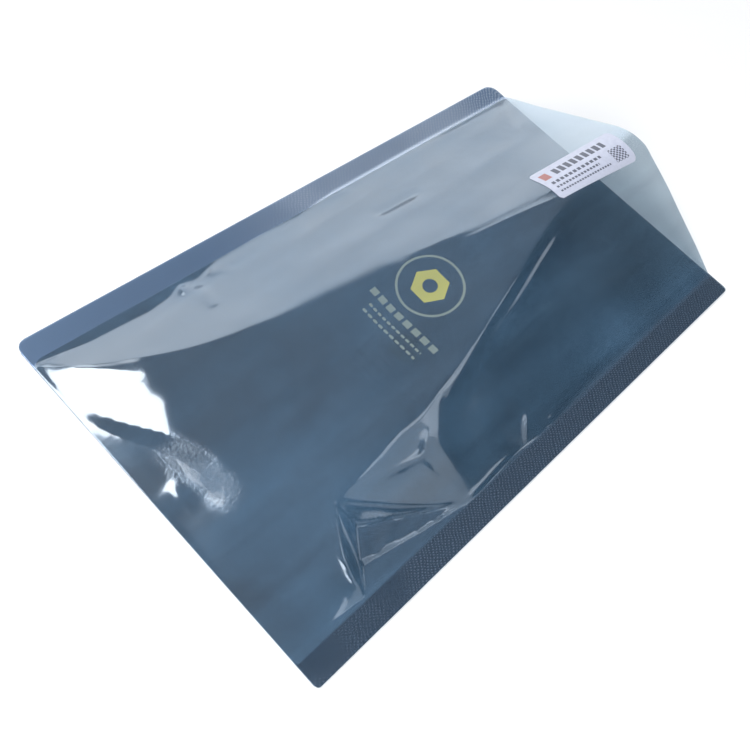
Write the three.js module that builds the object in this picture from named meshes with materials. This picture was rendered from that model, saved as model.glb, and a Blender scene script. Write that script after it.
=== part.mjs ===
// A flat anti static shielding bag, lying on its back sheet with its mouth held open.
//
// One length of metallised film is folded across at the closed end and heat sealed down both
// sides. The front sheet stands off the back one like a low tent: a ridge runs from the far
// corner of the fold to the top of the mouth, a sharper ridge runs beside it, and near the
// fold the film has buckled into a pocket. A paper label is stuck on the front.
//
// Millimetres, +Z up. +X runs from the fold to the mouth, +Y is the far side seal.

import * as THREE from 'three';

// Cut and seals
const bagWidth = 152; // across the fold
const bagLength = 229; // fold to mouth
const mouthWidth = 132; // over the seals at the mouth, drawn in by the standing front sheet
const sealWidth = 10; // each welded side band
const filmWall = 0.5; // one layer of film
const farCornerRadius = 4; // the two corners on the +Y seal
const nearCornerRadius = 1.5; // the two corners on the -Y seal

// How far the front sheet stands off the back one
const mouthHeight = 33.5; // clear height under the top of the mouth
const mouthPullback = 2.5; // how far the lifted edge draws back from the mouth's corners

// Ridge lines of the front sheet, from fold to mouth. Each point is
// [share of the length, share of the half width between the seals, share of the mouth height].
const farRidgeLine = [
  [0, 0.97, 0],
  [0.04, 0.85, 0.1],
  [0.09, 0.72, 0.19],
  [0.19, 0.53, 0.31],
  [0.31, 0.4, 0.43],
  [0.47, 0.3, 0.57],
  [0.67, 0.07, 0.79],
  [0.78, -0.005, 0.9],
  [1, -0.02, 1],
];
const nearRidgeLine = [
  [0, -0.9, 0],
  [0.04, -0.77, 0.09],
  [0.09, -0.66, 0.19],
  [0.18, -0.565, 0.295],
  [0.3, -0.56, 0.4],
  [0.42, -0.5, 0.5],
  [0.6, -0.33, 0.71],
  [0.74, -0.18, 0.87],
  [0.82, -0.13, 0.91],
  [1, -0.16, 0.95],
];
const nearFootLine = [
  [0, -0.96, 0],
  [0.04, -0.88, 0.07],
  [0.15, -0.8, 0.23],
  [0.25, -0.76, 0.26],
  [0.36, -0.69, 0.32],
  [0.42, -0.6, 0.37],
  [0.6, -0.42, 0.54],
  [0.74, -0.28, 0.67],
  [1, -0.49, 0.59],
];
const farRidgeRadius = 7; // half the width over which each ridge rounds off
const nearRidgeRadius = 1.5;
const nearFootRadius = 4;
const softShoulder = 8; // the near ridge's rounding before it sharpens
const sharpensFrom = 0.11; // shares of the length between which it sharpens
const sharpensTo = 0.19;

// Where the film has buckled beside the near seal: a flat facet, and a pocket under its lip.
// Places are [share of the length, share of the half width between the seals].
const buckleTip = [0.18, -0.565]; // on the near ridge, where both begin
const facetTop = [0.425, -0.495]; // on the near ridge, where the facet ends
const lipEnd = [0.352, -1]; // where the lip meets the seal
const lipRise = 1.2; // how much the lip bulges up between its ends
const lipSlope = 1.5; // steepness of the wall under the lip
const pocketFall = 0.9; // steepness of the pocket's other wall, along the bag
const pocketRise = 0.69; // and across it
const pocketFloor = 0.6; // height of its floor over the back sheet
const creaseRound = 0.6; // rounding where the facet and the pocket cut the sheet

// Label
const labelLength = 40;
const labelWidth = 17;
const labelWall = 0.3;
const labelFromMouth = 28.5; // its centre, back from the mouth
const labelFromMiddle = 0.2; // its centre, across
const labelTurn = -7; // degrees
const labelLift = 0.3; // clearance over the film
const labelCorner = 1;

// Mesh steps
const rows = 54; // along the length
const farSteps = 9; // between the far seal and the far ridge
const topSteps = 8; // between the two ridges
const footSteps = 3; // down the near ridge's steep strip
const nearSteps = 11; // from its foot to the near seal
const labelRows = 16;
const labelColumns = 10;

const filmColour = 0x5a7090;
const paperColour = 0xd5d8e2;

const innerHalf = (share) => outerHalf(share) - sealWidth;

function outerHalf(share) {
  return THREE.MathUtils.lerp(bagWidth, mouthWidth, share) / 2;
}

// A smooth curve through the points of a line, read at a share of the length.
function along(line, share, item) {
  let k = 0;
  while (k < line.length - 2 && share > line[k + 1][0]) k += 1;
  const slope = (i) => {
    const before = line[Math.max(i - 1, 0)];
    const after = line[Math.min(i + 1, line.length - 1)];
    return (after[item] - before[item]) / (after[0] - before[0]);
  };
  const span = line[k + 1][0] - line[k][0];
  const t = (share - line[k][0]) / span;
  const rise = t * t * (3 - 2 * t);
  const lead = t * (1 - t) * (1 - t) * span * slope(k);
  const trail = t * t * (1 - t) * span * slope(k + 1);
  return THREE.MathUtils.lerp(line[k][item], line[k + 1][item], rise) + lead - trail;
}

// The bend of a sheet over a ridge: level before it, a straight slope after it.
function bend(distance, radius) {
  if (distance <= -radius) return 0;
  if (distance >= radius) return distance;
  return (distance + radius) ** 2 / (4 * radius);
}

function smoothMin(a, b, round) {
  const near = Math.max(round - Math.abs(a - b), 0) / round;
  return Math.min(a, b) - (near * near * round) / 4;
}

// The three ridge lines where they cross the sheet at one place along it. Places across are
// measured from the far seal.
function ridgesAt(share) {
  const half = innerHalf(share);
  const place = (line) => ({
    from: half * (1 - along(line, share, 1)),
    height: mouthHeight * along(line, share, 2),
  });
  const far = place(farRidgeLine);
  const near = place(nearRidgeLine);
  const foot = place(nearFootLine);
  const sharp = THREE.MathUtils.smoothstep(share, sharpensFrom, sharpensTo);
  far.radius = Math.min(farRidgeRadius, far.from / 2);
  near.radius = Math.min(
    THREE.MathUtils.lerp(softShoulder, nearRidgeRadius, sharp),
    (near.from - far.from) / 3,
    foot.from - near.from,
  );
  foot.radius = Math.min(nearFootRadius, (2 * half - foot.from) / 2);
  return { half, far, near, foot };
}

// Height of the front sheet over the back one, before the pocket is pressed in.
function tentHeight(x, y) {
  const { half, far, near, foot } = ridgesAt(THREE.MathUtils.clamp(x / bagLength, 0, 1));
  const from = THREE.MathUtils.clamp(half - y, 0, 2 * half);
  const slopes = [
    far.height / far.from,
    (near.height - far.height) / (near.from - far.from),
    (foot.height - near.height) / (foot.from - near.from),
    -foot.height / (2 * half - foot.from),
  ];
  return [far, near, foot].reduce(
    (height, ridge, k) => height + (slopes[k + 1] - slopes[k]) * bend(from - ridge.from, ridge.radius),
    slopes[0] * from,
  );
}

const onSheet = ([share, across]) => new THREE.Vector2(share * bagLength, across * innerHalf(share));

// The flat facet hangs from the near ridge and reaches down to the end of the lip.
function facetHeight(x, y) {
  const tip = onSheet(buckleTip);
  const top = onSheet(facetTop);
  const end = onSheet(lipEnd);
  const tipHeight = tentHeight(tip.x, tip.y);
  const toTop = top.sub(tip);
  const toEnd = end.sub(tip);
  const topRise = tentHeight(tip.x + toTop.x, tip.y + toTop.y) - tipHeight;
  const spread = toTop.cross(toEnd);
  const away = new THREE.Vector2(x, y).sub(tip);
  return tipHeight + (topRise * away.cross(toEnd) - tipHeight * toTop.cross(away)) / spread;
}

// The pocket is a valley: a steep wall hangs under the facet's lip, a gentler one rises to the fold.
function buckleHeight(x, y) {
  const tip = onSheet(buckleTip);
  const tipHeight = tentHeight(tip.x, tip.y);
  const lip = onSheet(lipEnd).sub(tip);
  const away = new THREE.Vector2(x, y).sub(tip);
  const t = THREE.MathUtils.clamp(away.dot(lip) / lip.lengthSq(), 0, 1);
  const inside = lip.cross(away) / lip.length();
  const lipHeight = tipHeight * (1 - t) + 4 * lipRise * t * (1 - t);
  const underLip = Math.max(lipHeight + lipSlope * inside, pocketFloor);
  const foldSide = tipHeight - pocketFall * away.x + pocketRise * away.y;
  return Math.max(smoothMin(facetHeight(x, y), underLip, creaseRound), foldSide);
}

function sheetHeight(x, y) {
  const tent = tentHeight(x, y);
  if (tent <= 0) return 0;
  return Math.max(smoothMin(tent, buckleHeight(x, y), Math.min(creaseRound, tent)), 0);
}

// Places of the rows along the length, closer together at the fold and the corners.
function rowPlaces() {
  const end = [0, 2 * filmWall, farCornerRadius / 2 + filmWall, farCornerRadius].sort((a, b) => a - b);
  const start = end[end.length - 1];
  const middle = [];
  for (let i = 1; i < rows; i += 1) middle.push(THREE.MathUtils.lerp(start, bagLength - start, i / rows));
  return [...end, ...middle, ...end.map((x) => bagLength - x).reverse()];
}

// How much a rounded corner takes off the bag's edge at one place along it.
function cornerCut(x, radius) {
  const inset = Math.max(radius - Math.min(x, bagLength - x), 0);
  return radius - Math.sqrt(Math.max(radius ** 2 - inset ** 2, 0));
}

// Places across one row between the two seals, gathered at the ridge lines.
function placesBetweenSeals(share) {
  const { half, far, near, foot } = ridgesAt(share);
  const stops = [0, far.from, near.from, foot.from, 2 * half];
  const steps = [farSteps, topSteps, footSteps, nearSteps];
  const places = [];
  steps.forEach((count, k) => {
    for (let i = 0; i < count; i += 1) {
      places.push(half - THREE.MathUtils.lerp(stops[k], stops[k + 1], i / count));
    }
  });
  places.push(-half);
  return places;
}

class Skin {
  constructor() {
    this.points = [];
    this.triangles = [];
  }

  point(x, y, z) {
    this.points.push(x, y, z);
    return this.points.length / 3 - 1;
  }

  quad(a, b, c, d) {
    this.triangles.push(a, b, c, a, c, d);
  }

  // Faces over a grid of points, seen from above when the rows run along +X and the columns along -Y.
  grid(lines, upward) {
    for (let i = 0; i + 1 < lines.length; i += 1) {
      for (let j = 0; j + 1 < lines[i].length; j += 1) {
        const loop = [lines[i][j], lines[i][j + 1], lines[i + 1][j + 1], lines[i + 1][j]];
        this.quad(...(upward ? loop : loop.reverse()));
      }
    }
  }

  // A flat face with many points across its two ends, first and last, and long strips between.
  flat(first, farSide, nearSide, last, upward) {
    const end = farSide.length - 1;
    const across = first.length - 1;
    const faces = [];
    for (let j = 0; j < across; j += 1) {
      faces.push([first[j], first[j + 1], farSide[1]], [farSide[end - 1], last[j + 1], last[j]]);
    }
    faces.push([first[across], nearSide[1], farSide[1]], [farSide[end - 1], nearSide[end - 1], last[across]]);
    for (let i = 1; i < end - 1; i += 1) {
      faces.push([farSide[i], nearSide[i], nearSide[i + 1]], [farSide[i], nearSide[i + 1], farSide[i + 1]]);
    }
    for (const face of faces) this.triangles.push(...(upward ? face : face.reverse()));
  }

  geometry() {
    const geometry = new THREE.BufferGeometry();
    geometry.setAttribute('position', new THREE.Float32BufferAttribute(this.points, 3));
    geometry.setIndex(this.triangles);
    geometry.computeVertexNormals();
    return geometry;
  }
}

function bagFilm() {
  const skin = new Skin();
  const outside = []; // front sheet from above, seals included
  const inside = []; // front sheet from within, seal to seal, beginning one wall inside the fold
  const lastColumn = farSteps + topSteps + footSteps + nearSteps;
  for (const x of rowPlaces()) {
    const share = x / bagLength;
    const between = placesBetweenSeals(share);
    const farEdge = outerHalf(share) - cornerCut(x, farCornerRadius);
    const nearEdge = outerHalf(share) - cornerCut(x, nearCornerRadius);
    const outer = [skin.point(x, farEdge, 2 * filmWall)];
    const inner = [];
    between.forEach((y, j) => {
      const onSeam = j === 0 || j === lastColumn || x === 0;
      const mouthLift = sheetHeight(bagLength, between[j] * (innerHalf(1) / innerHalf(share))) / mouthHeight;
      const drawn = x - mouthPullback * share * Math.min(mouthLift, 1) ** 2;
      const height = onSeam ? 0 : sheetHeight(drawn, y);
      outer.push(skin.point(drawn, y, height + 2 * filmWall));
      inner.push(skin.point(Math.max(drawn, filmWall), y, height + filmWall));
    });
    outer.push(skin.point(x, -nearEdge, 2 * filmWall));
    outside.push(outer);
    inside.push(inner);
  }

  skin.grid(outside, true);
  skin.grid(inside, false);

  // Back sheet: its upper face shares the seam lines, its lower face lies on the ground.
  const fold = inside[0];
  const lastRow = outside.length - 1;
  const mouthSill = inside[lastRow].map((k, j) => {
    const onSeam = j === 0 || j === lastColumn;
    return onSeam ? k : skin.point(bagLength, skin.points[3 * k + 1], filmWall);
  });
  const farSeam = inside.map((row) => row[0]);
  const nearSeam = inside.map((row) => row[lastColumn]);
  skin.flat(fold, farSeam, nearSeam, mouthSill, true);

  const ground = (k) => skin.point(skin.points[3 * k], skin.points[3 * k + 1], 0);
  const farEdge = outside.map((row) => row[0]);
  const nearEdge = outside.map((row) => row[row.length - 1]);
  const foldGround = outside[0].map(ground);
  const farGround = farEdge.map((k, i) => (i === 0 ? foldGround[0] : ground(k)));
  const nearGround = nearEdge.map((k, i) => (i === 0 ? foldGround[foldGround.length - 1] : ground(k)));
  const mouthGround = [farGround[lastRow], ...mouthSill.map(ground), nearGround[lastRow]];
  skin.flat(foldGround, farGround, nearGround, mouthGround, false);

  // Edges: down the fold and both seals, and round the mouth.
  skin.grid([foldGround, outside[0]], true);
  skin.grid([nearGround, nearEdge], true);
  skin.grid([farEdge, farGround], true);
  const rim = outside[lastRow];
  for (let j = 0; j < lastColumn; j += 1) {
    skin.quad(rim[j + 1], rim[j + 2], inside[lastRow][j + 1], inside[lastRow][j]);
    skin.quad(mouthSill[j], mouthSill[j + 1], mouthGround[j + 2], mouthGround[j + 1]);
  }
  skin.quad(rim[0], rim[1], mouthSill[0], mouthGround[1]);
  skin.triangles.push(rim[0], mouthGround[1], mouthGround[0]);
  const end = lastColumn + 2;
  skin.quad(rim[end - 1], rim[end], mouthGround[end - 1], mouthSill[lastColumn]);
  skin.triangles.push(rim[end], mouthGround[end], mouthGround[end - 1]);
  return skin.geometry();
}

// The label follows the sheet that it is stuck on.
function paperLabel() {
  const skin = new Skin();
  const turn = THREE.MathUtils.degToRad(labelTurn);
  const middle = new THREE.Vector2(bagLength - labelFromMouth, labelFromMiddle);
  const layer = (lift) => {
    const lines = [];
    for (let i = 0; i <= labelRows; i += 1) {
      const inset = Math.max(labelCorner - Math.min(i, labelRows - i) * (labelLength / labelRows), 0);
      const cut = labelCorner - Math.sqrt(labelCorner ** 2 - inset ** 2);
      const width = labelWidth - 2 * cut;
      const line = [];
      for (let j = 0; j <= labelColumns; j += 1) {
        const place = new THREE.Vector2(
          labelLength * (i / labelRows - 0.5),
          width * (0.5 - j / labelColumns),
        );
        place.rotateAround(new THREE.Vector2(), turn).add(middle);
        const film = sheetHeight(place.x, place.y) + 2 * filmWall;
        line.push(skin.point(place.x, place.y, film + lift));
      }
      lines.push(line);
    }
    return lines;
  };
  const under = layer(labelLift);
  const face = layer(labelLift + labelWall);
  skin.grid(face, true);
  skin.grid(under, false);
  skin.grid([under[0], face[0]], true);
  skin.grid([face[labelRows], under[labelRows]], true);
  skin.grid([face, under].map((lines) => lines.map((line) => line[0])), true);
  skin.grid([under, face].map((lines) => lines.map((line) => line[labelColumns])), true);
  return skin.geometry();
}

function piece(name, geometry, colour, roughness, metalness) {
  const mesh = new THREE.Mesh(geometry, new THREE.MeshStandardMaterial({ color: colour, roughness, metalness }));
  mesh.name = name;
  return mesh;
}

const bag = new THREE.Group();
bag.add(piece('bag_film', bagFilm(), filmColour, 0.15, 0.6));
bag.add(piece('paper_label', paperLabel(), paperColour, 0.6, 0));
bag.position.x = -bagLength / 2; // the origin is the middle of the footprint, on the ground

export default bag;
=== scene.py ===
"""The look of an anti static shielding bag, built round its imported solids.

Metres, +Z up. +X runs from the fold to the mouth, and +Y is the far side seal. The bag lies on
its back sheet, and its front sheet stands up like a low tent.
"""

import math

import bpy
import numpy as np
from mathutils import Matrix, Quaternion, Vector


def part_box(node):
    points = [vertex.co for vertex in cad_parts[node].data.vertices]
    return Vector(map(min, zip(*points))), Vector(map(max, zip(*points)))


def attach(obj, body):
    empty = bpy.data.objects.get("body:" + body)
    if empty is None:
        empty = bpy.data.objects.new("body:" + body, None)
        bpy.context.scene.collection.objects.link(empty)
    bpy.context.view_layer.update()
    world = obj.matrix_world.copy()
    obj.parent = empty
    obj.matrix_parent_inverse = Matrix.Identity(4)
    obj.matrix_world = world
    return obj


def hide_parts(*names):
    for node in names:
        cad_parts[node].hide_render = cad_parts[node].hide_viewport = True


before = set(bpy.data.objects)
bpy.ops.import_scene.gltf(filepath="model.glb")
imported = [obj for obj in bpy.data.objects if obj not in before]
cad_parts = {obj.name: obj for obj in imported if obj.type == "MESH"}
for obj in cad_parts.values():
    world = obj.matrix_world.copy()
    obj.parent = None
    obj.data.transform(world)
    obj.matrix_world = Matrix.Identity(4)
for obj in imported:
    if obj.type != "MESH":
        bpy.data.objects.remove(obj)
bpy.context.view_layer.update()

bpy.ops.object.select_all(action="DESELECT")
mm = 0.001

# The cut and the seals
cad_low, cad_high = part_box("bag_film")
fold_x = cad_low.x
mouth_x = cad_high.x
bag_length = mouth_x - fold_x
fold_width = 152 * mm
mouth_width = 132 * mm
seal_width = 10 * mm
film = 0.2 * mm  # one layer
weld_gap = 0.05 * mm  # between the two layers of a seal
far_corner = 4 * mm
near_corner = 1.5 * mm

# How the front sheet stands
mouth_height = 33.5 * mm
mouth_pullback = 2.5 * mm

# Its ridge lines from fold to mouth. Each point is
# [share of the length, share of the half width between the seals, share of the mouth height].
far_ridge = [
    [0, 0.97, 0],
    [0.04, 0.85, 0.1],
    [0.09, 0.72, 0.19],
    [0.19, 0.53, 0.31],
    [0.31, 0.4, 0.43],
    [0.47, 0.3, 0.57],
    [0.67, 0.07, 0.79],
    [0.78, -0.005, 0.9],
    [1, -0.02, 1],
]
near_ridge = [
    [0, -0.9, 0],
    [0.04, -0.77, 0.09],
    [0.09, -0.66, 0.19],
    [0.18, -0.565, 0.295],
    [0.3, -0.56, 0.4],
    [0.42, -0.5, 0.5],
    [0.6, -0.33, 0.71],
    [0.74, -0.18, 0.87],
    [0.82, -0.13, 0.91],
    [1, -0.16, 0.95],
]
near_foot = [
    [0, -0.96, 0],
    [0.04, -0.88, 0.07],
    [0.15, -0.8, 0.23],
    [0.25, -0.76, 0.26],
    [0.36, -0.69, 0.32],
    [0.42, -0.6, 0.37],
    [0.6, -0.42, 0.54],
    [0.74, -0.28, 0.67],
    [1, -0.49, 0.59],
]
far_ridge_radius = 7 * mm
far_ridge_start_radius = 1.5 * mm
far_ridge_softens = (0.2, 0.5)  # shares of the length
near_ridge_radius = 1.5 * mm
near_foot_radius = 4 * mm
soft_shoulder = 8 * mm
near_ridge_sharpens = (0.11, 0.19)  # shares of the length

# The buckle beside the near seal, as shares of the length and of the half width
buckle_tip = [0.18, -0.565]
facet_top = [0.425, -0.495]
lip_end = [0.352, -1]
lip_rise = 1.2 * mm
lip_slope = 1.5
pocket_fall = 0.9
pocket_rise = 0.69
pocket_floor = 0.6 * mm
crease_round = 0.6 * mm
facet_bulge_at = [84, -44]
facet_bulge = 1.3 * mm
facet_bulge_reach = 9 * mm

# Knurl of the seals: pitch, rise of its two rows of ribs, and how far noise shifts them, in millimetres
knurl_pitch = 1.5
knurl_slopes = (0.8, -1.3)
knurl_shift = 2.2
seal_edge = 0.6  # how far inside the seam the knurl ends
seal_blur = 0.25

# Relief of the metal layer, as shares of its greatest height
relief_height = 0.3 * mm
knurl_relief = 0.5
grain_relief = 0.005
streak_relief = 0.25
flake_relief = 0.8
streak_turn = math.radians(12)
streak_scale = (7, 75, 7)

# The band behind the fold where loose flakes glitter, in millimetres: its place behind the fold at
# the far edge, its rise across the bag, half its width, and where it starts and ends across
flake_line = 3.2
flake_slope = 0.185
flake_band = 5.0
flake_blur = 4.0
flake_start = (58.0, 68.0)
flake_end = 92.0
flake_end_blur = 8.0

# Finish of the film. One layer hides this share of what is behind it, and a seal and ink more.
film_hides = 0.43
seal_hides = 0.12
ink_hides = 0.35
cloud_strength = 0.3
film_roughness = 0.12
seal_roughness = 0.22
coat_roughness = 0.02
flake_roughness = 0.25
ink_takes_coat = 0.6
flakes_take_coat = 0.7
coat_ior = 1.7
layer_tint = (0.69, 0.825, 0.93, 1)
metal_colour = (0.2, 0.235, 0.275, 1)
# The seals' colours hold painted light: the far seal is painted paler as a painted reflection, and the near
# seal darker as painted shade
far_seal_painted_reflection_colour = (0.22, 0.31, 0.46, 1)
# A paler patch of painted reflection along the far seal
far_seal_painted_bright_reflection_colour = (0.46, 0.54, 0.66, 1)
# The knurl's ribs are painted paler, as painted glints, palest on the far seal and darkened by painted
# shade on the near one
far_knurl_painted_glint_colour = (0.58, 0.64, 0.73, 1)
near_seal_painted_shade_colour = (0.08, 0.12, 0.18, 1)
near_knurl_shaded_glint_colour = (0.23, 0.28, 0.35, 1)
line_ink = (0.2, 0.25, 0.24, 1)
field_ink = (0.42, 0.42, 0.13, 1)
# Across this range the seal colour turns from the far seal's painted reflection to the near seal's painted
# shade
painted_shade_side_across = (60.0, 90.0)  # millimetres from the far edge
# The far seal's patch of painted reflection: where it fades in along the bag, how far noise shifts it, and
# where it stops before the mouth
reflection_patch_along = (90.0, 180.0)  # millimetres from the fold
reflection_patch_spread = 60.0
reflection_patch_end = 212.0
reflection_patch_end_blur = 14.0

# Print, in millimetres
print_middle = [119.6, 75.5]  # from the fold, and across from the far edge
print_ring = 12
print_line = 1.0
print_field = 6.2
print_hole = 2.7
print_blur = 0.15
print_gap = 0.12  # share of the pitch, on either side of a bar
six_sided_lean = (0.5, 0.866)  # cosine and sine of 60 degrees
# Rows of bars: place along the bag from the ring's middle, start and end across, height, pitch
print_rows = [(-16.5, -13, 20, 2.6, 4.2), (-21, -9, 17, 1.0, 2.3), (-24, -9, 17, 1.0, 2.7)]

# The label, and its print in millimetres from its corner by the fold and the near side
label_size = (40 * mm, 17 * mm)
label_corner = 1.2 * mm
label_turn = math.radians(-7)
label_film = 0.12 * mm
label_steps = (40, 18)
# A box is [from the fold side, from the near side, to the mouth side, to the far side], and a row
# of bars has a pitch as well
label_code = [31, 2.2, 37.4, 8.6]
label_square = 0.8
label_gap = 0.14  # share of the pitch, on either side of a bar
label_gap_blur = 0.1
label_edge_blur = 0.08
label_over_film = 0.08 * mm
label_hover = 5 * mm  # how far over the mouth it starts before it is laid down
paper_dark = (0.42, 0.45, 0.56, 1)
paper_pale = (0.56, 0.59, 0.7, 1)
label_ink = (0.08, 0.09, 0.13, 1)
label_block_colour = (0.36, 0.14, 0.13, 1)
label_block = [2.2, 10.6, 5.6, 14.4]
label_rows = [
    ([7.6, 10.8, 33, 14.2], 2.9),
    ([2.4, 7.2, 27, 8.6], 2.1),
    ([2.4, 4.8, 24, 5.8], 1.5),
    ([2.4, 2.6, 28, 3.4], 1.3),
]

# Mesh steps of the film. Its rows are closer together over the rounded corners, in millimetres.
corner_rows = [0, 0.3, 0.7, 1.2, 1.9, 2.8, 4]
front_rows = 244
fold_rows = 4
back_rows = 26
# Steps between the far edge, the seams, the ridges and the near edge
column_steps = [10, 42, 34, 16, 40, 10]

# The camera stands where the photograph was taken from
camera_place = Vector((-0.20883, -0.11276, 0.33114))
camera_heading = math.radians(29.78)
camera_dip = math.radians(57.41)
camera_roll = math.radians(19.3)
camera_lens = 53.76


def smooth_step(value, start, end):
    t = np.clip((value - start) / (end - start), 0, 1)
    return t * t * (3 - 2 * t)


def inner_half(share):
    return (fold_width + (mouth_width - fold_width) * share) / 2 - seal_width


def along(line, share, item):
    """A smooth curve through the points of a ridge line, read at shares of the length."""
    line = np.array(line)
    places, values = line[:, 0], line[:, item]
    last = len(places) - 1
    slopes = np.array([
        (values[min(k + 1, last)] - values[max(k - 1, 0)])
        / (places[min(k + 1, last)] - places[max(k - 1, 0)])
        for k in range(last + 1)
    ])
    k = np.clip(np.searchsorted(places, share) - 1, 0, last - 1)
    span = places[k + 1] - places[k]
    t = (share - places[k]) / span
    level = values[k] + (values[k + 1] - values[k]) * t * t * (3 - 2 * t)
    lead = t * (1 - t) ** 2 * span * slopes[k]
    trail = t * t * (1 - t) * span * slopes[k + 1]
    return level + lead - trail


def bend(distance, radius):
    """A sheet's bend over a ridge: level before it, a straight slope after it."""
    rounded = (distance + radius) ** 2 / (4 * radius)
    return np.where(distance <= -radius, 0, np.where(distance >= radius, distance, rounded))


def smooth_min(a, b, rounding):
    near = np.maximum(rounding - abs(a - b), 0) / rounding
    return np.minimum(a, b) - near * near * rounding / 4


def ridges_at(share):
    """Half the width between the seams, and each ridge's distance from the far seam, height and radius."""
    half = inner_half(share)
    far, near, foot = (
        (half * (1 - along(line, share, 1)), mouth_height * along(line, share, 2))
        for line in (far_ridge, near_ridge, near_foot)
    )
    sharp = smooth_step(share, *near_ridge_sharpens)
    softened = smooth_step(share, *far_ridge_softens)
    far_radius = far_ridge_start_radius + (far_ridge_radius - far_ridge_start_radius) * softened
    far_radius = np.minimum(far_radius, far[0] / 2)
    near_radius = soft_shoulder + (near_ridge_radius - soft_shoulder) * sharp
    near_radius = np.minimum(near_radius, np.minimum((near[0] - far[0]) / 3, foot[0] - near[0]))
    foot_radius = np.minimum(near_foot_radius, (2 * half - foot[0]) / 2)
    return half, (*far, far_radius), (*near, near_radius), (*foot, foot_radius)


def tent_height(x, y):
    """Height of the front sheet before the pocket is pressed in. x runs from the fold."""
    half, far, near, foot = ridges_at(np.clip(x / bag_length, 0, 1))
    place = np.clip(half - y, 0, 2 * half)
    slopes = [
        far[1] / far[0],
        (near[1] - far[1]) / (near[0] - far[0]),
        (foot[1] - near[1]) / (foot[0] - near[0]),
        -foot[1] / (2 * half - foot[0]),
    ]
    height = slopes[0] * place
    for k, ridge in enumerate((far, near, foot)):
        height = height + (slopes[k + 1] - slopes[k]) * bend(place - ridge[0], ridge[2])
    return height


def on_sheet(point):
    return np.array([point[0] * bag_length, point[1] * inner_half(point[0])])


def cross(a, b):
    return a[..., 0] * b[..., 1] - a[..., 1] * b[..., 0]


def buckle_height(x, y):
    """The flat facet that hangs from the near ridge, and the pocket's two walls under its lip."""
    tip = on_sheet(buckle_tip)
    tip_height = float(tent_height(*tip))
    to_top = on_sheet(facet_top) - tip
    lip = on_sheet(lip_end) - tip
    top_rise = float(tent_height(*(tip + to_top))) - tip_height
    away = np.stack([x - tip[0], y - tip[1]], -1)
    facet = tip_height + (
        top_rise * cross(away, lip) - tip_height * cross(to_top, away)
    ) / cross(to_top, lip)
    middle = np.array(facet_bulge_at) * mm
    from_middle = (x - middle[0]) ** 2 + (y - middle[1]) ** 2
    facet = facet + facet_bulge * np.exp(-from_middle / facet_bulge_reach**2)
    reach = np.linalg.norm(lip)
    t = np.clip(away @ lip / reach**2, 0, 1)
    lip_height = tip_height * (1 - t) + 4 * lip_rise * t * (1 - t)
    under_lip = np.maximum(lip_height + lip_slope * cross(lip, away) / reach, pocket_floor)
    fold_side = tip_height - pocket_fall * away[..., 0] + pocket_rise * away[..., 1]
    return np.maximum(smooth_min(facet, under_lip, crease_round), fold_side)


def sheet_height(x, y):
    tent = tent_height(x, y)
    rounding = np.clip(tent, 1e-6, crease_round)
    return np.where(tent <= 0, 0, np.maximum(smooth_min(tent, buckle_height(x, y), rounding), 0))


# How much of the film lies flat inside each seam, as [mm from the fold, mm]. Below zero it lifts
# off a little outside the seam.
far_margin = [[0, 0], [10, 1.6], [20, 3.6], [31, 4.3], [43, 5.4], [52, 4], [58, 1.2], [66, 2.6], [75, 0.2],
              [96, -0.2], [114, 0.6], [132, -1.4], [170, -1.6], [229, -1.2]]
near_margin = [[0, 0.5], [26, 0.5], [34, -0.6], [58, -1], [80, -0.6], [106, 0.4], [118, -1],
               [150, 0.8], [229, 0]]
margin_fade = 11 * mm
loose_from = 0.6 * mm  # height from which the film is creased

# Creases of the front sheet, in millimetres: a line of places [from the fold, from the middle], how
# far it lifts the film, and half its width. The soft ones are round and the sharp ones have an edge.
soft_creases = [
    ([[30, 45], [25.5, 38], [25, 27], [20, 17.8], [14, 10]], 0.6, 6.0),
    ([[225, 58], [207, 36], [184, 16]], 0.5, 2.2),
    ([[60, 44], [61, 51], [62, 57]], 0.7, 2.6),
    ([[132, 39.7], [154, 37.8]], -0.8, 2.2),
    ([[217, -56.4], [200, -53.1], [185, -53.6], [158, -52]], 0.5, 1.4),
    ([[178, -37], [197, -40]], 0.35, 1.3),
    ([[49, -38], [59, -39.5], [75, -43], [82.5, -38.5]], 0.3, 1.4),
    ([[57, -44], [68, -46]], -0.25, 2.2),
    ([[94, -33.5], [111.4, -29.6], [128, -25], [138.2, -22.3], [168.2, -13.5], [184, -10.5]], 0.45, 1.3),
    ([[47, -43], [41, -52], [36, -60]], 0.4, 2.0),
    ([[57.4, -50], [47, -56], [37, -62.6]], 0.35, 2.0),
    ([[45, -62], [46.5, -64.5]], 1.3, 2.4),
    ([[51, -63], [53, -63.7]], 1.0, 2.0),
    ([[58, -62], [61, -63.3]], 1.4, 2.6),
    ([[66, -61.6], [69, -62.6]], 1.0, 2.0),
    ([[115.5, -55.5], [117, -57]], 0.4, 3.0),
    ([[35.2, 17], [35.8, 16.4]], 0.35, 1.0),
    ([[38, 9.6], [38.4, 8.8]], 0.4, 1.0),
    ([[37, 7], [37.5, 6.4]], 0.3, 0.9),
    ([[40, -20], [75, -12], [110, -12]], 0.35, 5.0),
    ([[70, 10], [100, 2], [130, -4]], -0.3, 5.0),
]
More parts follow.
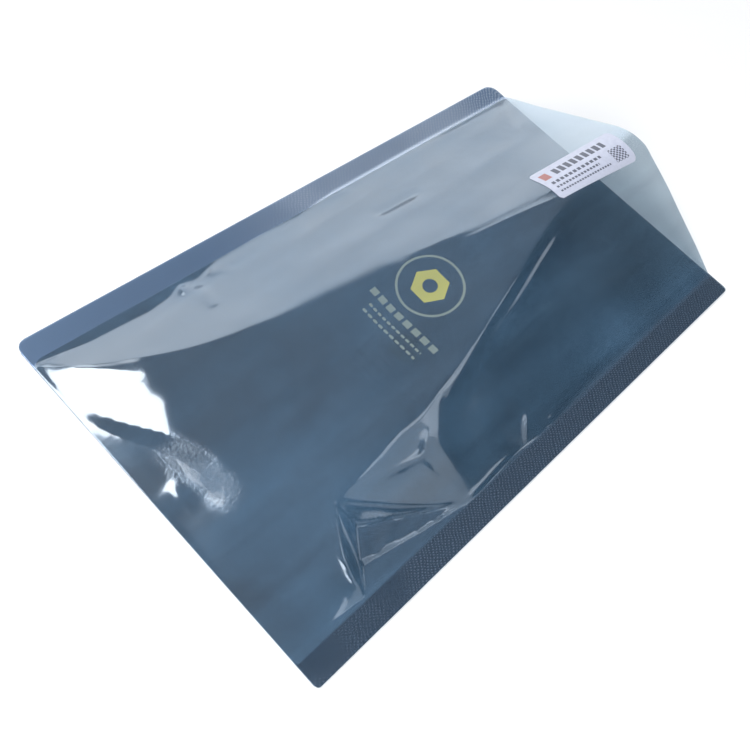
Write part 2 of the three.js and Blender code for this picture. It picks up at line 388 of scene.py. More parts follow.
sharp_creases = [
    ([[10, 3.4], [9.4, 0.6], [6, -1.6], [1, -3]], 0.55, 1.6),
    ([[57, 67], [58.5, 61], [57, 57]], 0.9, 1.6),
    ([[62, 68], [64, 62], [62, 58]], -0.5, 1.6),
    ([[68, 66], [69, 61.5], [72, 57]], 0.6, 1.6),
    ([[70, 61.5], [77, 53.5]], 0.45, 1.6),
    ([[121, 62], [130, 60], [139, 57.6]], 0.55, 1.4),
    ([[77, -62.6], [91, -61.9], [108, -60.4]], 0.75, 1.3),
    ([[124, -60.6], [131, -59]], 0.5, 1.2),
    ([[64, -41], [75.5, -43.6], [78, -53], [79, -61]], 0.3, 1.6),
    ([[42, -38], [48.8, -44], [58.6, -51.2], [74.2, -60]], 0.4, 1.2),
    ([[40.8, -37.5], [36.6, -42], [32, -50], [30.6, -58.7], [33, -64]], 0.5, 1.3),
    ([[50, -36.5], [62, -36], [72, -37.5]], 0.2, 2.0),
    ([[120, 14.6], [150, 6.6], [172, 2.2], [186, -2]], 0.45, 1.1),
    ([[140, 5.6], [160, 1], [180, -4.4]], 0.35, 1.1),
    ([[160, 56.8], [190, 55.4], [222, 54]], 0.35, 1.2),
    ([[0, 70], [13, 50], [26, 32]], 0.6, 4.0),
]

# Beside this line, in millimetres as above, the film behind the fold is pressed in. It comes back
# up to the tent between two distances from the fold, and between two distances along the line.
press_from = [[0, 42], [16.3, 13.4]]
press_edge = 2.5 * mm
press_slope = 0.17
press_deepest = 14 * mm
press_end = 26 * mm
press_fades = (32 * mm, 66 * mm)

# The corner by the fold and the near seam lies low: from this far to the near side, and up to
# these distances from the fold
low_corner_from = -4 * mm
low_corner_reach = (8 * mm, 50 * mm)
low_corner_round = 1.5 * mm

# The film is slack over these heights and from these distances behind the fold. Its waves have a
# name, a size and a height.
slack_heights = (1 * mm, 8 * mm)
slack_behind_fold = (25 * mm, 70 * mm)
slack_waves = [("swell", 34 * mm, 0.9 * mm), ("ripple", 11 * mm, 0.2 * mm)]
least_slack = 0.01


def crease_lift(x, y, points, lift, half_width, sharp):
    """Lift of one crease line at places on the sheet, fading towards the line's ends."""
    points = np.array(points) * mm
    steps = np.diff(points, axis=0)
    lengths = np.linalg.norm(steps, axis=1)
    starts = np.concatenate([[0], np.cumsum(lengths)])
    nearest = np.full(x.shape, np.inf)
    place = np.zeros(x.shape)
    for start, step, length, before in zip(points, steps, lengths, starts):
        away = np.stack([x - start[0], y - start[1]], -1)
        t = np.clip(away @ step / length**2, 0, 1)
        distance = np.hypot(away[..., 0] - t * step[0], away[..., 1] - t * step[1])
        closer = distance < nearest
        nearest = np.where(closer, distance, nearest)
        place = np.where(closer, (before + t * length) / starts[-1], place)
    fade = np.clip(4 * place * (1 - place), 0, 1) ** 0.5
    across = nearest / (half_width * mm)
    return lift * mm * fade * np.exp(-(across if sharp else across**2))


def margins_at(x, y):
    """Where on the smooth tent each place of the sheet is read, with the flat margins at the seams."""
    half = inner_half(np.clip(x / bag_length, 0, 1))
    shift = np.zeros(np.broadcast(x, y).shape)
    for margin, side in ((far_margin, 1), (near_margin, -1)):
        places, widths = np.array(margin).T * mm
        from_seam = np.maximum(half - side * y, 0)
        widths = np.interp(x, places, widths)
        shift = shift + side * widths * np.exp(-((from_seam / margin_fade) ** 2))
    return y + shift


def press(x, y):
    """How deep the film behind the fold is pressed in beside the crease at its corner."""
    start, end = np.array(press_from) * mm
    line = (end - start) / np.linalg.norm(end - start)
    away = np.stack([x - start[0], y - start[1]], -1)
    beside = np.maximum(-cross(line, away), 0)
    deep = press_slope * np.minimum(x, press_deepest) * (1 - smooth_step(x, press_deepest, press_end))
    return deep * smooth_step(beside, 0, press_edge) * (1 - smooth_step(away @ line, *press_fades))


def lie_lower(x, y, height):
    """Lets the near corner by the fold down to one even slope."""
    half = inner_half(np.clip(x / bag_length, 0, 1))
    top = np.full(np.broadcast(x, y).shape, low_corner_from)
    even = sheet_height(x + 0 * y, top) * np.clip((half + y) / (half + low_corner_from), 0, 1)
    weight = 1 - smooth_step(x, *low_corner_reach)
    lower = smooth_min(height, even, low_corner_round)
    return height + weight * (lower - height) * (y < low_corner_from)


def row_places(rows):
    """Places of a sheet's rows, closer together at the rounded corners."""
    end = np.array(corner_rows) * mm
    middle = np.linspace(end[-1], bag_length - end[-1], rows - 2 * len(end) + 3)
    return np.concatenate([end, middle[1:-1], (bag_length - end)[::-1]])


def corner_cut(x, radius):
    """How far a rounded corner draws the side edge in at x."""
    inset = np.maximum(radius - np.minimum(x, bag_length - x), 0)
    return radius - np.sqrt(np.maximum(radius**2 - inset**2, 0))


def places_across(x):
    """Where each column crosses the rows at x, from the far edge to the near one."""
    share = x / bag_length
    half, far, near, foot = ridges_at(share)
    outer = half + seal_width
    stops = [
        outer - corner_cut(x, far_corner),
        half,
        half - far[0],
        half - near[0],
        half - foot[0],
        -half,
        corner_cut(x, near_corner) - outer,
    ]
    columns = []
    for k, steps in enumerate(column_steps):
        columns += [stops[k] + (stops[k + 1] - stops[k]) * i / steps for i in range(steps)]
    return np.stack(columns + [stops[-1]], -1)


def front_sheet(x):
    """Points of the front sheet, row by row from the fold to the mouth."""
    across = places_across(x)
    share = x[:, None] / bag_length
    half = inner_half(share)
    mouth_end = np.full(across.shape, bag_length)
    mouth_lift = sheet_height(mouth_end, across * inner_half(1) / half) / mouth_height
    drawn = x[:, None] - mouth_pullback * share * np.minimum(mouth_lift, 1) ** 2
    height = sheet_height(drawn, margins_at(drawn, across))
    loose = smooth_step(height, 0, loose_from)
    height = lie_lower(drawn, across, height) - press(drawn, across)
    for creases, sharp in ((soft_creases, False), (sharp_creases, True)):
        for points, lift, half_width in creases:
            height = height + loose * crease_lift(drawn, across, points, lift, half_width, sharp)
    height[0] = 0
    level = 1.5 * film + weld_gap
    return np.stack([drawn + fold_x, across, np.maximum(height, 0) + level], -1)


def deselect():
    bpy.ops.object.select_all(action="DESELECT")


def modifier(piece, kind, **settings):
    """Adds a modifier with its settings and applies it."""
    deselect()
    piece.select_set(True)
    bpy.context.view_layer.objects.active = piece
    added = piece.modifiers.new(kind.lower(), kind)
    for name, value in settings.items():
        setattr(added, name, value)
    bpy.ops.object.modifier_apply(modifier=added.name)


def smooth(piece, degrees):
    """Shades a piece smooth where its faces meet at less than an angle."""
    deselect()
    piece.select_set(True)
    bpy.context.view_layer.objects.active = piece
    bpy.ops.object.shade_smooth_by_angle(angle=math.radians(degrees))


def grid(name, columns, rows):
    """A flat grid one unit wide, and the place of each of its vertices."""
    bpy.ops.mesh.primitive_grid_add(x_subdivisions=columns, y_subdivisions=rows, size=1)
    piece = bpy.context.active_object
    piece.name = name
    flat = np.zeros(len(piece.data.vertices) * 3)
    piece.data.vertices.foreach_get("co", flat)
    return piece, flat.reshape(-1, 3)


def place_grid(piece, points, cut):
    """Moves a grid's vertices to their points, and gives each its place on the flat cut."""
    mesh = piece.data
    mesh.vertices.foreach_set("co", points.ravel())
    corners = np.zeros(len(mesh.loops), int)
    mesh.loops.foreach_get("vertex_index", corners)
    mesh.uv_layers[0].name = "cut"
    mesh.uv_layers[0].data.foreach_set("uv", cut[corners].ravel())
    mesh.update()


def back_sheet(x):
    points = np.zeros((len(x), sum(column_steps) + 1, 3))
    points[..., 0] = x[:, None] + fold_x
    points[..., 1] = places_across(x)
    points[..., 2] = 0.5 * film
    return points


def fold_sheet(back_end, front_start):
    """Rows of the half round fold, from the back sheet's last row to the front sheet's first."""
    turns = np.linspace(-math.pi / 2, math.pi / 2, fold_rows + 2)[1:-1]
    middle = (back_end[0, 2] + front_start[0, 2]) / 2
    radius = (front_start[0, 2] - back_end[0, 2]) / 2
    points = np.repeat(front_start[None], fold_rows, axis=0)
    points[..., 0] -= radius * np.cos(turns)[:, None]
    points[..., 2] = middle + radius * np.sin(turns)[:, None]
    return points


def bag_film():
    """The whole bag is one length of film: back sheet from its mouth edge to the fold, then front sheet."""
    front_x = row_places(front_rows)
    back_x = row_places(back_rows)[::-1]
    rows = len(back_x) + fold_rows + len(front_x) - 1
    columns = sum(column_steps)
    piece, flat = grid("shielding_film", rows, columns)
    row = np.rint((flat[:, 0] + 0.5) * rows).astype(int)
    column = np.rint((0.5 - flat[:, 1]) * columns).astype(int)
    back = back_sheet(back_x)
    front = front_sheet(front_x)
    sheet = np.concatenate([back, fold_sheet(back[-1], front[0]), front])

    # The flat cut: u across the bag and v along it, both of them shares
    steps = np.linalg.norm(np.diff(sheet, axis=1), axis=2)
    run = np.concatenate([np.zeros((len(sheet), 1)), np.cumsum(steps, axis=1)], axis=1)
    share_across = run / run[:, -1:]
    lengthwise = np.concatenate([
        (bag_length - back_x) / (2 * bag_length),
        np.full(fold_rows, 0.5),
        (bag_length + front_x) / (2 * bag_length),
    ])
    cut = np.stack([share_across[row, column], lengthwise[row]], -1)
    place_grid(piece, sheet[row, column], cut)

    # The film is slack between the seams and taut along them
    from_fold = sheet[row, column, 0] - fold_x
    slack = smooth_step(sheet[row, column, 2], *slack_heights) * smooth_step(from_fold, *slack_behind_fold)
    slack_group = piece.vertex_groups.new(name="slack")
    for index in np.flatnonzero(slack > least_slack):
        slack_group.add([int(index)], float(slack[index]), "REPLACE")
    for name, size, height in slack_waves:
        clouds = bpy.data.textures.new(name, "CLOUDS")
        clouds.noise_scale = size
        clouds.noise_depth = 1
        modifier(piece, "DISPLACE", texture=clouds, texture_coords="LOCAL", strength=height,
                 mid_level=0.5, vertex_group="slack")
    modifier(piece, "SOLIDIFY", thickness=film, offset=0)
    smooth(piece, 60)
    return piece


def label_paper(film_piece, middle):
    """The stuck-on label: a sheet cut with small round corners, laid over the film."""
    piece, flat = grid("label_sheet", *label_steps)
    u = flat[:, 0] + 0.5
    from_end = np.minimum(u, 1 - u) * label_size[0]
    inset = np.maximum(label_corner - from_end, 0)
    inset = label_corner - np.sqrt(np.maximum(label_corner**2 - inset**2, 0))
    x = flat[:, 0] * label_size[0]
    y = flat[:, 1] * (label_size[1] - 2 * inset)
    turned = np.stack([
        x * math.cos(label_turn) - y * math.sin(label_turn) + middle.x,
        x * math.sin(label_turn) + y * math.cos(label_turn) + middle.y,
        np.full(x.shape, mouth_height + label_hover),
    ], -1)
    place_grid(piece, turned, np.stack([u, y / label_size[1] + 0.5], -1))
    modifier(piece, "SHRINKWRAP", target=film_piece, wrap_method="PROJECT", use_project_x=False,
             use_project_y=False, use_project_z=True, use_negative_direction=True,
             use_positive_direction=False, offset=label_over_film)
    modifier(piece, "SOLIDIFY", thickness=label_film, offset=1)
    smooth(piece, 40)
    return piece


# Node helpers


def add_node(tree, kind, place, **inputs):
    node = tree.nodes.new(kind)
    node.location = (place[0] * 200, place[1] * 180)
    for name, value in inputs.items():
        node.inputs[name.replace("_", " ")].default_value = value
    return node


def maths(tree, operation, place, first, second=None, third=None):
    node = tree.nodes.new("ShaderNodeMath")
    node.operation = operation
    node.location = (place[0] * 200, place[1] * 180)
    for socket, value in zip(node.inputs, (first, second, third)):
        if value is None:
            continue
        if isinstance(value, bpy.types.NodeSocket):
            tree.links.new(value, socket)
        else:
            socket.default_value = value
    return node.outputs[0]


def mix_colour(tree, place, factor, first, second):
    node = tree.nodes.new("ShaderNodeMix")
    node.data_type = "RGBA"
    node.location = (place[0] * 200, place[1] * 180)
    for socket, value in ((node.inputs[0], factor), (node.inputs[6], first), (node.inputs[7], second)):
        if isinstance(value, bpy.types.NodeSocket):
            tree.links.new(value, socket)
        else:
            socket.default_value = value
    return node.outputs[2]


def smooth_range(tree, place, value, start, end):
    """0 below start and 1 over end, with a smooth step between."""
    node = add_node(tree, "ShaderNodeMapRange", place, From_Min=start, From_Max=end)
    node.interpolation_type = "SMOOTHSTEP"
    tree.links.new(value, node.inputs[0])
    return node.outputs[0]


def new_material(name):
    material = bpy.data.materials.new(name)
    material.use_nodes = True
    material.node_tree.nodes.clear()
    return material


def group(name, inputs, outputs):
    """A new node group with plain number sockets, and its input and output nodes."""
    tree = bpy.data.node_groups.new(name, "ShaderNodeTree")
    for socket in inputs:
        tree.interface.new_socket(socket, in_out="INPUT", socket_type="NodeSocketFloat")
    for socket in outputs:
        tree.interface.new_socket(socket, in_out="OUTPUT", socket_type="NodeSocketFloat")
    return tree, add_node(tree, "NodeGroupInput", (-6, 0)), add_node(tree, "NodeGroupOutput", (6, 0))


def use_group(tree, made, place, **inputs):
    node = tree.nodes.new("ShaderNodeGroup")
    node.node_tree = made
    node.location = (place[0] * 200, place[1] * 180)
    for name, value in inputs.items():
        if isinstance(value, bpy.types.NodeSocket):
            tree.links.new(value, node.inputs[name])
        else:
            node.inputs[name].default_value = value
    return node


def inside(tree, place, value, limit, blur):
    """1 where the value is under the limit, 0 over it."""
    over = smooth_range(tree, place, value, limit - blur, limit + blur)
    return maths(tree, "SUBTRACT", place, 1.0, over)


def near_to(tree, place, value, middle, reach, blur):
    """1 where the value is within reach of the middle, 0 further out."""
    away = maths(tree, "SUBTRACT", (place[0] - 2, place[1]), value, middle)
    away = maths(tree, "ABSOLUTE", (place[0] - 1, place[1]), away)
    return inside(tree, place, away, reach, blur)


def bar_gaps(tree, place, value, start, pitch, gap, blur):
    """0 in the gaps between bars that follow each other from the start, 1 on the bars."""
    beat = maths(tree, "SUBTRACT", (place[0] - 2, place[1]), value, start)
    beat = maths(tree, "PINGPONG", (place[0] - 1, place[1]), beat, pitch / 2)
    return smooth_range(tree, place, beat, gap * pitch, gap * pitch + blur)


def noise(tree, place, vector, **inputs):
    node = add_node(tree, "ShaderNodeTexNoise", place, **inputs)
    tree.links.new(vector, node.inputs["Vector"])
    return node.outputs[0]


def places_on_cut(tree, place):
    """The two shares of a piece's flat cut at which a place lies."""
    cut = add_node(tree, "ShaderNodeUVMap", place)
    cut.uv_map = "cut"
    split = add_node(tree, "ShaderNodeSeparateXYZ", (place[0] + 1, place[1]))
    tree.links.new(cut.outputs[0], split.inputs[0])
    return split.outputs[0], split.outputs[1]


def print_group():
    """The generic print: a ring with a six-sided field and a round hole in it, and rows of bars.

    along and across are millimetres from the ring's middle.
    """
    tree, given, put = group("film_print", ("along", "across"), ("field", "line"))
    along_mm, across_mm = given.outputs["along"], given.outputs["across"]
    reach = maths(tree, "ADD", (-4, 0),
                  maths(tree, "MULTIPLY", (-5, 0), along_mm, along_mm),
                  maths(tree, "MULTIPLY", (-5, 1), across_mm, across_mm))
    reach = maths(tree, "SQRT", (-3, 0), reach)
    ring = near_to(tree, (0, 0), reach, print_ring, print_line / 2, print_blur)

    a = maths(tree, "ABSOLUTE", (-5, 2), along_mm)
    b = maths(tree, "ABSOLUTE", (-5, 3), across_mm)
    slanted = maths(tree, "MULTIPLY", (-5, 4), b, six_sided_lean[1])
    slanted = maths(tree, "MULTIPLY_ADD", (-4, 3), a, six_sided_lean[0], slanted)
    widest = maths(tree, "MAXIMUM", (-3, 3), a, slanted)
    six_sided = inside(tree, (-2, 3), widest, print_field, print_blur)
    hole = inside(tree, (-2, 4), reach, print_hole, print_blur)
    field = maths(tree, "MULTIPLY", (0, 3), six_sided, maths(tree, "SUBTRACT", (-1, 4), 1.0, hole))

    bars = 0.0
    for k, (from_middle, start, end, width, pitch) in enumerate(print_rows):
        line = -3 * k - 1
        side = near_to(tree, (-3, line), along_mm, from_middle, width / 2, print_blur)
        ends = near_to(tree, (-3, line - 1), across_mm, (start + end) / 2, (end - start) / 2, print_blur)
        gaps = bar_gaps(tree, (-3, line - 2), across_mm, start, pitch, print_gap, print_blur)
        row = maths(tree, "MULTIPLY", (-1, line), maths(tree, "MULTIPLY", (-2, line), side, ends), gaps)
        bars = maths(tree, "MAXIMUM", (0, line), row, bars)
    tree.links.new(field, put.inputs["field"])
    tree.links.new(maths(tree, "MAXIMUM", (2, 0), ring, bars), put.inputs["line"])
    return tree


def seal_knurl(tree, places, patches, across_mm, along_mm, seal):
    """Knurl rolled into the seals: slanted ribs that cross, a little uneven, and faint near the fold."""
    uneven = noise(tree, (-5, -2), places, Scale=260.0, Detail=3.0)
    ribs = []
    for k, slope in enumerate(knurl_slopes):
        slant = maths(tree, "MULTIPLY_ADD", (-5, -3 - k), across_mm, slope, along_mm)
        slant = maths(tree, "MULTIPLY_ADD", (-4, -3 - k), uneven, knurl_shift, slant)
        ribs.append(maths(tree, "PINGPONG", (-3, -3 - k), slant, knurl_pitch / 2))
    crossed = maths(tree, "MULTIPLY", (-2, -3), *ribs)
    hard = maths(tree, "MULTIPLY_ADD", (-4, -4), along_mm, 0.003, patches)
    hard = maths(tree, "MULTIPLY_ADD", (-4, -5), across_mm, 0.0025, hard)
    hard = smooth_range(tree, (-3, -4), hard, 0.7, 1.05)
    return maths(tree, "MULTIPLY", (-1, -3), crossed, maths(tree, "MULTIPLY", (-2, -4), seal, hard))


def long_streaks(tree, places):
    """Long faint streaks that run along the bag."""
    stretch = add_node(tree, "ShaderNodeMapping", (-5, -6))
    stretch.inputs["Rotation"].default_value = (0, 0, streak_turn)
    stretch.inputs["Scale"].default_value = streak_scale
    tree.links.new(places, stretch.inputs["Vector"])
    return noise(tree, (-3, -6), stretch.outputs[0], Scale=1.0, Detail=3.0, Roughness=0.6)


def flake_mask(tree, across_mm, along_mm):
    """1 in the band behind the fold where loose flakes glitter."""
    behind = maths(tree, "MULTIPLY_ADD", (-5, -9), across_mm, -flake_slope, along_mm)
    band = near_to(tree, (-2, -9), behind, flake_line, flake_band, flake_blur)
    before_end = inside(tree, (-2, -10), across_mm, flake_end, flake_end_blur)
    after_start = smooth_range(tree, (-2, -11), across_mm, *flake_start)
    band = maths(tree, "MULTIPLY", (-1, -10), band, before_end)
    return maths(tree, "MULTIPLY", (-1, -11), band, after_start)


def film_relief(tree, places, knurl, streaks, flaky, loose):
    """Height of the metal layer's grain, the knurl, the streaks and the flakes."""
    grain = noise(tree, (-3, -5), places, Scale=1600.0, Detail=2.0)
    flakes = noise(tree, (-3, -8), places, Scale=1100.0, Detail=2.0)
    relief = maths(tree, "MULTIPLY", (-1, -6), grain, grain_relief)
    relief = maths(tree, "MULTIPLY_ADD", (-1, -5), knurl, knurl_relief, relief)
    streaked = maths(tree, "MULTIPLY", (-2, -7), streaks, streak_relief)
    streaked = maths(tree, "MULTIPLY", (-1, -7), streaked, loose)
    relief = maths(tree, "ADD", (0, -5), relief, streaked)
    raised = maths(tree, "MULTIPLY", (0, -9), flaky, flake_relief)
    return maths(tree, "MULTIPLY_ADD", (1, -6), flakes, raised, relief)


def seal_colour_with_painted_light(tree, patches, knurl, across_mm, along_mm):
    """Seal colours with painted light: the far seal painted pale as a painted reflection, with a paler
    patch of painted reflection, the near seal painted dark as painted shade, and the knurl's ribs painted
    paler as painted glints.
    """
    # The near side gets painted shade, the far side painted reflection
    painted_shade_side = smooth_range(tree, (-3, 5), across_mm, *painted_shade_side_across)
    # A paler patch of painted reflection along the far seal
    reflection_patch = maths(tree, "MULTIPLY_ADD", (-5, 6), patches, reflection_patch_spread, along_mm)
    reflection_patch = smooth_range(tree, (-4, 6), reflection_patch, *reflection_patch_along)
    before_mouth = inside(tree, (-4, 7), along_mm, reflection_patch_end, reflection_patch_end_blur)
    reflection_patch = maths(tree, "MULTIPLY", (-3, 6), reflection_patch, before_mouth)
    plain = mix_colour(tree, (-2, 6), reflection_patch, far_seal_painted_reflection_colour, far_seal_painted_bright_reflection_colour)
    plain = mix_colour(tree, (-1, 5), painted_shade_side, plain, near_seal_painted_shade_colour)
    # The knurl's ribs are painted paler, as painted glints
    raised = mix_colour(tree, (-1, 4), painted_shade_side, far_knurl_painted_glint_colour, near_knurl_shaded_glint_colour)
    return mix_colour(tree, (0, 4), smooth_range(tree, (-2, 4), knurl, 0.02, 0.4), plain, raised)


def hidden_share(tree, places, seal, loose, inked, streaks):
    """How much of what is behind one layer it hides, a little cloudy between the seals."""
    share = maths(tree, "MULTIPLY_ADD", (3, -4), inked, ink_hides, film_hides)
    share = maths(tree, "MULTIPLY_ADD", (4, -4), seal, seal_hides, share)
    cloudy = noise(tree, (0, -9), places, Scale=19.0, Detail=3.0, Roughness=0.55, Distortion=0.6)
    cloudy = maths(tree, "ADD", (1, -9), cloudy, streaks)
    cloudy = maths(tree, "SUBTRACT", (2, -9), cloudy, 1.0)
    cloudy = maths(tree, "MULTIPLY", (2, -8), cloudy, cloud_strength)
    return maths(tree, "ADD", (3, -5), share, maths(tree, "MULTIPLY", (3, -8), cloudy, loose))


def film_material():
    material = new_material("shielding_film")
    tree = material.node_tree
    link = tree.links.new
    output = add_node(tree, "ShaderNodeOutputMaterial", (8, 0))
    shader = add_node(tree, "ShaderNodeBsdfPrincipled", (4, 1))
    shader.inputs["Coat Roughness"].default_value = coat_roughness
    shader.inputs["Coat IOR"].default_value = coat_ior
    clear = add_node(tree, "ShaderNodeBsdfTransparent", (4, -1))
    mix = add_node(tree, "ShaderNodeMixShader", (6, 0))
    geometry = add_node(tree, "ShaderNodeNewGeometry", (0, -3))
    places = add_node(tree, "ShaderNodeTexCoord", (-8, -2)).outputs["Object"]

    # Which part of the cut this is, in millimetres
    share_across, share_along = places_on_cut(tree, (-8, 0))
    across_mm = maths(tree, "MULTIPLY", (-6, 0), share_across, fold_width / mm)
    along_mm = maths(tree, "MULTIPLY_ADD", (-6, 1), share_along, 2 * bag_length / mm, -bag_length / mm)
    from_edge = maths(tree, "PINGPONG", (-5, 0), across_mm, fold_width / 2 / mm)
    seal = inside(tree, (-4, 0), from_edge, seal_width / mm - seal_edge, seal_blur)
    loose = maths(tree, "SUBTRACT", (-2, -6), 1.0, seal)

    # Relief
    patches = noise(tree, (-5, -4), places, Scale=22.0, Detail=2.0)
    knurl = seal_knurl(tree, places, patches, across_mm, along_mm, seal)
    streaks = long_streaks(tree, places)
    flaky = flake_mask(tree, across_mm, along_mm)
    bump = add_node(tree, "ShaderNodeBump", (2, -2), Strength=1.0, Distance=relief_height)
    link(film_relief(tree, places, knurl, streaks, flaky, loose), bump.inputs["Height"])
    link(bump.outputs[0], shader.inputs["Normal"])

    # Print and colour
    ink = use_group(
        tree, print_group(), (-3, 3),
        along=maths(tree, "SUBTRACT", (-4, 3), along_mm, print_middle[0]),
        across=maths(tree, "SUBTRACT", (-4, 4), across_mm, print_middle[1]))
    inked = maths(tree, "MAXIMUM", (-1, 3), ink.outputs["field"], ink.outputs["line"])
    # The seals' colours carry painted reflection, painted shade and painted glints
    colour = seal_colour_with_painted_light(tree, patches, knurl, across_mm, along_mm)
    colour = mix_colour(tree, (0, 3), seal, metal_colour, colour)
    colour = mix_colour(tree, (1, 3), ink.outputs["line"], colour, line_ink)
    colour = mix_colour(tree, (2, 3), ink.outputs["field"], colour, field_ink)
    link(colour, shader.inputs["Base Color"])

    # Gloss
    roughness = maths(tree, "MULTIPLY_ADD", (2, 1), seal, seal_roughness, film_roughness)
    roughness = maths(tree, "MULTIPLY_ADD", (3, 1), flaky, flake_roughness, roughness)
    coat = maths(tree, "MULTIPLY_ADD", (2, -1), inked, -ink_takes_coat, 1.0)
    coat = maths(tree, "MULTIPLY_ADD", (3, -1), flaky, -flakes_take_coat, coat)
    link(roughness, shader.inputs["Roughness"])
    link(maths(tree, "SUBTRACT", (2, 0), 1.0, inked), shader.inputs["Metallic"])
    link(coat, shader.inputs["Coat Weight"])

    # Each layer counts once, where it is entered
    back = geometry.outputs["Backfacing"]
    front = maths(tree, "SUBTRACT", (2, -3), 1.0, back)
    hides = hidden_share(tree, places, seal, loose, inked, streaks)
    link(maths(tree, "MULTIPLY", (4, -3), front, hides), mix.inputs[0])
    link(mix_colour(tree, (2, -4), back, layer_tint, (1, 1, 1, 1)), clear.inputs["Color"])
    link(clear.outputs[0], mix.inputs[1])
    link(shader.outputs[0], mix.inputs[2])
    link(mix.outputs[0], output.inputs[0])
    return material


def rectangle(tree, place, along_mm, across_mm, box):
    """1 inside a box [x0, y0, x1, y1] in millimetres."""
    sides = []
    for k, (value, low, high) in enumerate(((along_mm, box[0], box[2]), (across_mm, box[1], box[3]))):
        sides.append(near_to(tree, (place[0] - 1, place[1] + k), value, (low + high) / 2,
                             (high - low) / 2, label_edge_blur))
    return maths(tree, "MULTIPLY", place, *sides)


def label_group():
    """The generic label: a coloured block, rows of dark bars, and a chequered square."""
    tree, given, put = group("label_print", ("along", "across"), ("dark", "colour"))
    along_mm, across_mm = given.outputs["along"], given.outputs["across"]
    dark = 0.0
    for k, (box, pitch) in enumerate(label_rows):
        row = rectangle(tree, (-1, -3 * k), along_mm, across_mm, box)
        gaps = bar_gaps(tree, (-2, -3 * k - 1), along_mm, box[0], pitch, label_gap, label_gap_blur)
        dark = maths(tree, "MAXIMUM", (1, -3 * k), maths(tree, "MULTIPLY", (0, -3 * k), row, gaps), dark)
    squares = add_node(tree, "ShaderNodeTexChecker", (-1, 4), Scale=1.0)
    at = add_node(tree, "ShaderNodeCombineXYZ", (-2, 4))
    tree.links.new(maths(tree, "DIVIDE", (-3, 4), along_mm, label_square), at.inputs[0])
    tree.links.new(maths(tree, "DIVIDE", (-3, 5), across_mm, label_square), at.inputs[1])
    tree.links.new(at.outputs[0], squares.inputs["Vector"])
    code = rectangle(tree, (-1, 6), along_mm, across_mm, label_code)
    code = maths(tree, "MULTIPLY", (0, 4), squares.outputs["Fac"], code)
    tree.links.new(maths(tree, "MAXIMUM", (2, 0), dark, code), put.inputs["dark"])
    tree.links.new(rectangle(tree, (2, 3), along_mm, across_mm, label_block), put.inputs["colour"])
    return tree


def paper_material():
    material = new_material("label_paper")
    tree = material.node_tree
    link = tree.links.new
    output = add_node(tree, "ShaderNodeOutputMaterial", (6, 0))
    shader = add_node(tree, "ShaderNodeBsdfPrincipled", (4, 0), Roughness=0.4)
    places = add_node(tree, "ShaderNodeTexCoord", (-6, 0))
    fibre = noise(tree, (-2, 0), places.outputs["Object"], Scale=700.0, Detail=4.0)
    share_along, share_across = places_on_cut(tree, (-6, 3))
    ink = use_group(
        tree, label_group(), (-2, 3),
        along=maths(tree, "MULTIPLY", (-4, 3), share_along, label_size[0] / mm),
        across=maths(tree, "MULTIPLY", (-4, 4), share_across, label_size[1] / mm))
    colour = mix_colour(tree, (0, 1), fibre, paper_dark, paper_pale)
    colour = mix_colour(tree, (1, 1), ink.outputs["dark"], colour, label_ink)
    colour = mix_colour(tree, (2, 1), ink.outputs["colour"], colour, label_block_colour)
    link(colour, shader.inputs["Base Color"])
    bump = add_node(tree, "ShaderNodeBump", (2, -1), Strength=0.15, Distance=0.1 * mm)
    link(fibre, bump.inputs["Height"])
    link(bump.outputs[0], shader.inputs["Normal"])
    link(shader.outputs[0], output.inputs[0])
    return material


def floor_material():
    """A pale floor. Round the bag it is only lit, so it keeps the shadow, and further out it is white."""
    material = new_material("floor")
    tree = material.node_tree
    link = tree.links.new
    output = add_node(tree, "ShaderNodeOutputMaterial", (4, 0))
    matt = add_node(tree, "ShaderNodeBsdfDiffuse", (0, 1), Color=(0.9, 0.9, 0.9, 1))
    glow = add_node(tree, "ShaderNodeEmission", (0, -1), Color=(1, 1, 1, 1), Strength=1.0)
    mix = add_node(tree, "ShaderNodeMixShader", (2, 0))
    rays = add_node(tree, "ShaderNodeLightPath", (-4, 0))
    seen = maths(tree, "MAXIMUM", (-2, 0), rays.outputs["Is Camera Ray"], rays.outputs["Is Glossy Ray"])
    seen = maths(tree, "MAXIMUM", (-1, 0), seen, rays.outputs["Is Transmission Ray"])
    places = add_node(tree, "ShaderNodeTexCoord", (-4, -2))
    away = add_node(tree, "ShaderNodeVectorMath", (-3, -2))
    away.operation = "LENGTH"
    link(places.outputs["Object"], away.inputs[0])
    outside = smooth_range(tree, (-2, -2), away.outputs["Value"], *floor_fades)
    link(maths(tree, "MULTIPLY", (1, 0), seen, outside), mix.inputs[0])
    link(matt.outputs[0], mix.inputs[1])
    link(glow.outputs[0], mix.inputs[2])
    link(mix.outputs[0], output.inputs[0])
    return material


# Studio


floor_fades = (0.16, 0.4)  # distances from the bag between which the floor turns white

# Lamps: name, azimuth, elevation, distance, size and the radiance that the film mirrors
lamps = [
    ("window", 123, 55, 1.1, (0.46, 0.31), 9.0),
    ("side_window", -69, 46, 1.1, (0.4, 0.46), 0.7),
    ("strip_window", -46, 50, 1.1, (0.2, 0.22), 1.6),
    ("high_window", -56, 62, 1.1, (0.3, 0.14), 2.0),
    ("front_panel", 215, 42, 1.4, (1.0, 1.0), 5.5),
]


def camera():
    bpy.ops.object.camera_add(location=camera_place)
    eye = bpy.context.active_object
    heading = Vector((
        math.cos(camera_dip) * math.cos(camera_heading),
        math.cos(camera_dip) * math.sin(camera_heading),
        -math.sin(camera_dip),
    ))
    eye.rotation_mode = "QUATERNION"
    eye.rotation_quaternion = heading.to_track_quat("-Z", "Y") @ Quaternion((0, 0, 1), camera_roll)
    eye.data.lens = camera_lens
    eye.data.sensor_width = 36
    eye.data.clip_start = 0.01
    bpy.context.scene.camera = eye


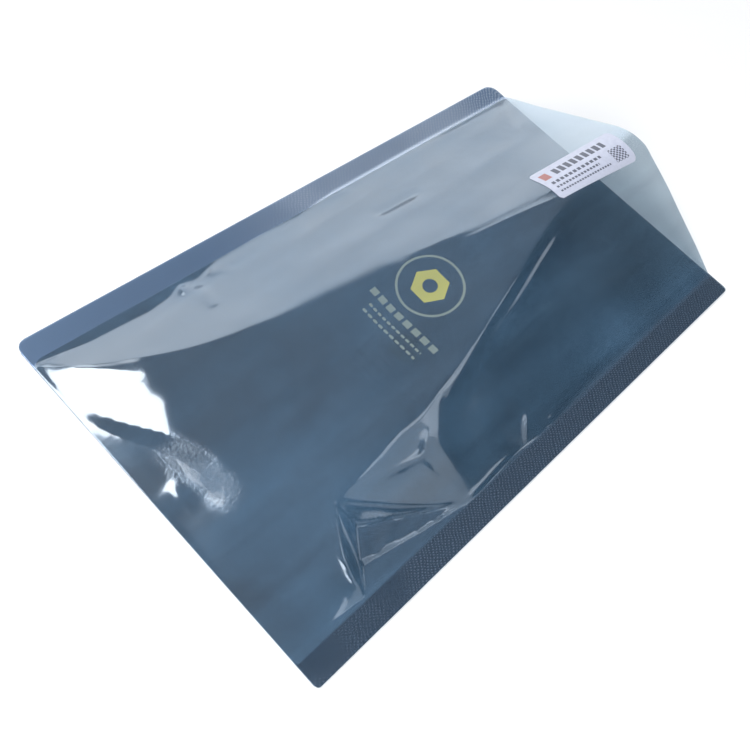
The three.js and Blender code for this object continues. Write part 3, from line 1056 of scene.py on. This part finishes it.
def softbox(name, azimuth, elevation, distance, size, radiance):
    """A flat lamp that faces the bag, with the radiance that the film mirrors."""
    a, e = math.radians(azimuth), math.radians(elevation)
    out = Vector((math.cos(e) * math.cos(a), math.cos(e) * math.sin(a), math.sin(e)))
    bpy.ops.object.light_add(type="AREA", location=out * distance)
    lamp = bpy.context.active_object
    lamp.name = name
    lamp.rotation_mode = "QUATERNION"
    lamp.rotation_quaternion = (-out).to_track_quat("-Z", "Y")
    lamp.data.shape = "RECTANGLE"
    lamp.data.size, lamp.data.size_y = size
    lamp.data.energy = radiance * math.pi * size[0] * size[1]
    lamp.visible_camera = False


# Soft glows of the room that the film mirrors: direction, cosines of its outer and inner edge, and
# brightness. The wide one over the far side is the room itself.
glows = [
    ((-0.3, 0.6, 0.74), -0.2, 1.0, (0.38, 0.4, 0.44, 1)),
    ((0.536, 0.826, 0.174), 0.76, 0.93, (2.2, 2.25, 2.3, 1)),
    ((-0.05, -0.932, 0.358), 0.975, 0.99, (0.6, 0.6, 0.6, 1)),
    ((0.03, 0.74, 0.67), 0.985, 0.995, (4, 4, 4, 1)),
    ((0.8925, -0.157, 0.4226), 0.96, 0.985, (1.2, 1.2, 1.2, 1)),
]
room_colour = (0.04, 0.045, 0.05, 1)


def studio():
    """Floor, lamps and world. The camera sees the world plain white."""
    bpy.ops.mesh.primitive_plane_add(size=12, location=(0, 0, -film))
    floor = bpy.context.active_object
    floor.name = "floor"
    floor.data.materials.append(floor_material())
    for lamp in lamps:
        softbox(*lamp)

    world = bpy.data.worlds.new("studio")
    bpy.context.scene.world = world
    world.use_nodes = True
    tree = world.node_tree
    tree.nodes.clear()
    output = add_node(tree, "ShaderNodeOutputWorld", (4, 0))
    sky = add_node(tree, "ShaderNodeBackground", (2, 0), Strength=1.0)
    places = add_node(tree, "ShaderNodeTexCoord", (-4, 0))
    direction = places.outputs["Generated"]
    colour = room_colour
    for k, (towards, start, end, glow) in enumerate(glows):
        dot = add_node(tree, "ShaderNodeVectorMath", (-3, k))
        dot.operation = "DOT_PRODUCT"
        dot.inputs[1].default_value = towards
        tree.links.new(direction, dot.inputs[0])
        near = smooth_range(tree, (-2, k), dot.outputs["Value"], start, end)
        colour = mix_colour(tree, (-1, k), near, colour, glow)
    rays = add_node(tree, "ShaderNodeLightPath", (-1, -1))
    colour = mix_colour(tree, (1, 0), rays.outputs["Is Camera Ray"], colour, (1, 1, 1, 1))
    tree.links.new(colour, sky.inputs["Color"])
    tree.links.new(sky.outputs[0], output.inputs[0])


camera()
studio()
bpy.context.scene.view_settings.view_transform = "Standard"
bpy.context.scene.cycles.transparent_max_bounces = 32  # layers of film, each with two faces

film_piece = bag_film()
film_piece.data.materials.append(film_material())
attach(film_piece, "root")
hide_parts("bag_film")

label_low, label_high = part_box("paper_label")
label = label_paper(film_piece, (label_low + label_high) / 2)
label.data.materials.append(paper_material())
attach(label, "root")
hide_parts("paper_label")
